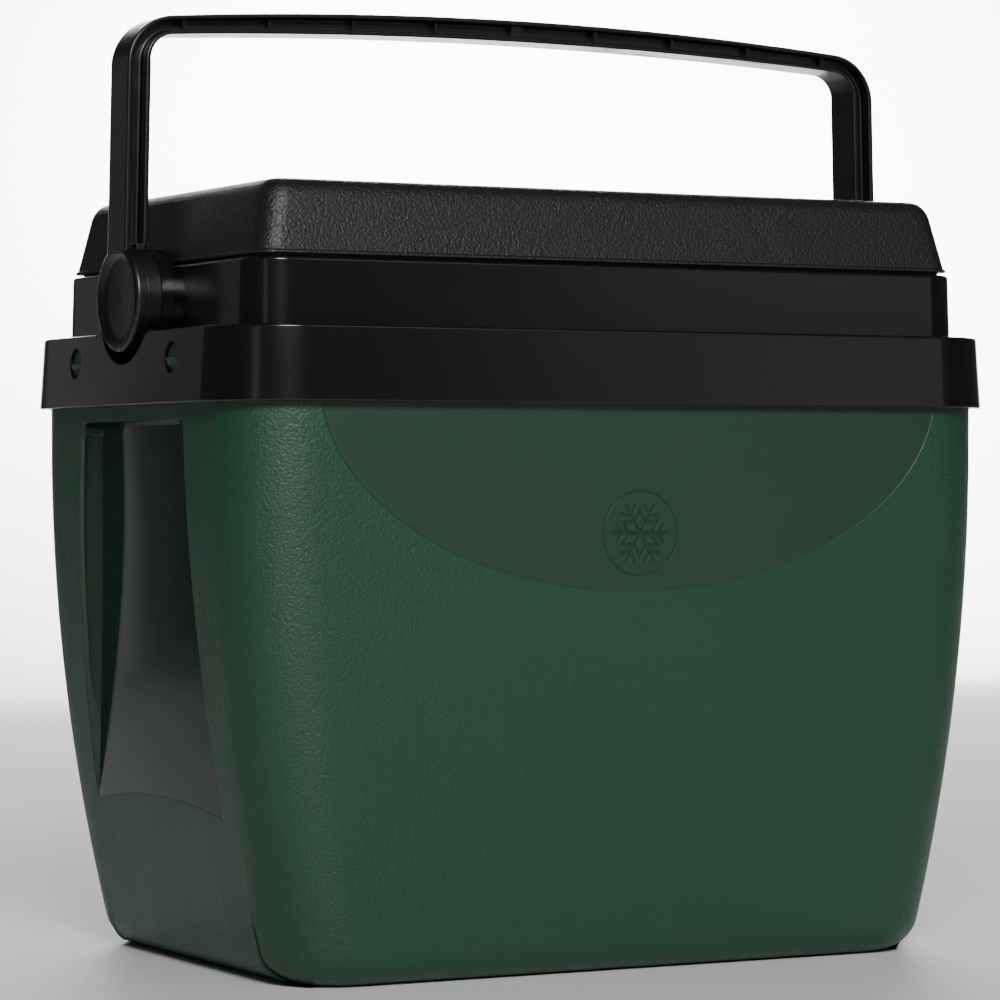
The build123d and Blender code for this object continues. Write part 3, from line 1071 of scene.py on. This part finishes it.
class COOLER_OT_inside(bpy.types.Operator):
    """Finishes the liner, the lid's pan, the insulation and the pivot pins"""

    bl_idname = "cooler.inside"
    bl_label = "Inner parts"

    def execute(self, context):
        colours = context.scene.cooler_colours
        liner = white_liner("white_liner", colours)
        repaint("inner_liner", liner)
        repaint("lid_pan", grained_black("pan_black", colours))
        foam = beaded_foam("beaded_foam", colours)
        for node in sorted(frame["nodes"]):
            if "foam" in node:
                repaint(node, foam)
        pins = satin_black("pin_black", colours)
        for node in ("pivot_pin_left", "pivot_pin_right"):
            repaint(node, pins)
        return {"FINISHED"}


# ---------------------------------------------------------------- stage


def soft_light(name, place, target, size, power, spread=180):
    """A rectangular soft light aimed at a point, its spread in degrees."""
    light = bpy.data.lights.new(name, "AREA")
    light.shape = "RECTANGLE"
    light.size, light.size_y = size
    light.energy = power
    light.spread = math.radians(spread)
    lamp = bpy.data.objects.new(name, light)
    lamp.location = place
    lamp.rotation_euler = (Vector(target) - Vector(place)).to_track_quat("-Z", "Y").to_euler()
    bpy.context.scene.collection.objects.link(lamp)
    return lamp


SURROUND_GLOW = (0.06, 3.0)  # the surround's strength as a light, and as the camera sees it
CAMERA_PLACE = (-0.92983, -1.74201, 0.22960)
CAMERA_TURN = (27.962, -0.2, -0.035)  # yaw from the rear, pitch and roll in degrees
LENS = 142.0
FLOOR_SIDES = (-5.0, 0.1, 5.0)  # left edge, start of the raised backdrop, right edge
FLOOR_FRONT = -5.0
BEND_START = 2.2
BEND_RADIUS = 1.0
BACKDROP_TOP = 4.0
FLOOR_DROP = 0.2 * MM  # the floor lies this far under the object


def studio_world(scene):
    """A pale surround for the camera that lights the object only dimly."""
    world = bpy.data.worlds.new("studio")
    world.use_nodes = True
    tree = world.node_tree
    surround = tree.nodes["Background"]
    surround.inputs["Color"].default_value = (1, 1, 1, 1)
    path = tree.nodes.new("ShaderNodeLightPath")
    glow = tree.nodes.new("ShaderNodeMapRange")
    glow.inputs["To Min"].default_value = SURROUND_GLOW[0]
    glow.inputs["To Max"].default_value = SURROUND_GLOW[1]
    tree.links.new(path.outputs["Is Camera Ray"], glow.inputs["Value"])
    tree.links.new(glow.outputs["Result"], surround.inputs["Strength"])
    scene.world = world


def studio_camera():
    """The camera, low and to the left of the front, with a long lens."""
    yaw, pitch, roll = (math.radians(angle) for angle in CAMERA_TURN)
    ahead = Vector((math.sin(yaw) * math.cos(pitch), math.cos(yaw) * math.cos(pitch), math.sin(pitch)))
    right = Vector((math.cos(yaw), -math.sin(yaw), 0))
    up = right.cross(ahead)
    level_right = right * math.cos(roll) + up * math.sin(roll)
    level_up = up * math.cos(roll) - right * math.sin(roll)
    camera = bpy.data.objects.new("camera", bpy.data.cameras.new("camera"))
    camera.data.sensor_width = 36
    camera.data.lens = LENS
    turn = Matrix((level_right, level_up, -ahead)).transposed()
    camera.matrix_world = Matrix.Translation(CAMERA_PLACE) @ turn.to_4x4()
    bpy.context.scene.collection.objects.link(camera)
    bpy.context.scene.camera = camera


class COOLER_OT_stage(bpy.types.Operator):
    """Lays the pale floor and backdrop, hangs the soft lights and sets the camera"""

    bl_idname = "cooler.stage"
    bl_label = "Stage"

    def execute(self, context):
        left, start, right = FLOOR_SIDES
        bend = [(FLOOR_FRONT, 0.0), (BEND_START, 0.0)]
        for angle in np.linspace(0.1, math.pi / 2, 12):
            rise = BEND_RADIUS * (1.0 - math.cos(angle))
            bend.append((BEND_START + BEND_RADIUS * math.sin(angle), rise))
        bend.append((BEND_START + BEND_RADIUS, BACKDROP_TOP))
        points = [(x, y, z - FLOOR_DROP) for y, z in bend for x in (start, right)]
        faces = [(2 * i, 2 * i + 1, 2 * i + 3, 2 * i + 2) for i in range(len(bend) - 1)]
        points += [(x, y, -FLOOR_DROP) for y in (FLOOR_FRONT, BEND_START) for x in (left, start)]
        count = len(points)
        faces.append((count - 4, count - 3, count - 1, count - 2))
        floor = new_piece("floor", points, faces, sharp=60.0)
        shader = Shader("pale_floor")
        tone = shader.mix(shader.noise(3.0), (0.70, 0.70, 0.70), (0.74, 0.74, 0.74))
        floor.data.materials.append(shader.finish(tone, 0.6))
        studio_world(context.scene)
        middle = (0.0, 0.0, 0.25)
        soft_light("key", (-0.75, -1.9, 1.4), middle, (0.8, 0.7), 52.0)
        soft_light("lid_box", (1.0, -2.6, 1.6), (0.0, -0.1, 0.35), (0.9, 0.5), 5.0)
        soft_light("strip", (1.95, -2.9, 0.8), middle, (0.7, 0.8), 1.2)
        soft_light("corner_strip", (-2.4, -1.35, 0.5), middle, (0.3, 1.3), 1.1)
        soft_light("rear_strip", (-0.98, 2.3, 0.45), (-0.2, 0.0, 0.2), (0.16, 1.1), 0.035, spread=60)
        soft_light("backdrop_wash", (1.8, 1.9, 2.9), (1.8, 3.3, 0.9), (2.0, 0.5), 300.0, spread=70)
        studio_camera()
        return {"FINISHED"}


# ---------------------------------------------------------------- add-on

OPERATORS = (
    COOLER_OT_outer_shell,
    COOLER_OT_snap_catches,
    COOLER_OT_collar,
    COOLER_OT_lid,
    COOLER_OT_handle,
    COOLER_OT_hub_caps,
    COOLER_OT_inside,
    COOLER_OT_stage,
)
SETTINGS = {
    "cooler_body": CoolerBodySizes,
    "cooler_lid": CoolerLidSizes,
    "cooler_handle": CoolerHandleSizes,
    "cooler_colours": CoolerColours,
}


class COOLER_PT_sidebar(bpy.types.Panel):
    """Lists the builders and their sizes in the sidebar"""

    bl_label = "Picnic cooler box"
    bl_idname = "COOLER_PT_sidebar"
    bl_space_type = "VIEW_3D"
    bl_region_type = "UI"
    bl_category = "Cooler"

    def draw(self, context):
        for group in SETTINGS:
            settings = getattr(context.scene, group)
            box = self.layout.box()
            for key in settings.__annotations__:
                box.prop(settings, key)
        for operator in OPERATORS:
            self.layout.operator(operator.bl_idname)


def register():
    for group in (*SETTINGS.values(), *OPERATORS, COOLER_PT_sidebar):
        bpy.utils.register_class(group)
    for key, group in SETTINGS.items():
        setattr(bpy.types.Scene, key, bpy.props.PointerProperty(type=group))


def unregister():
    for key in SETTINGS:
        delattr(bpy.types.Scene, key)
    for group in (COOLER_PT_sidebar, *reversed(OPERATORS), *SETTINGS.values()):
        bpy.utils.unregister_class(group)


def main():
    """Builds every piece in order."""
    register()
    for operator in OPERATORS:
        family, action = operator.bl_idname.split(".")
        getattr(getattr(bpy.ops, family), action)()


if __name__ == "__main__":
    main()
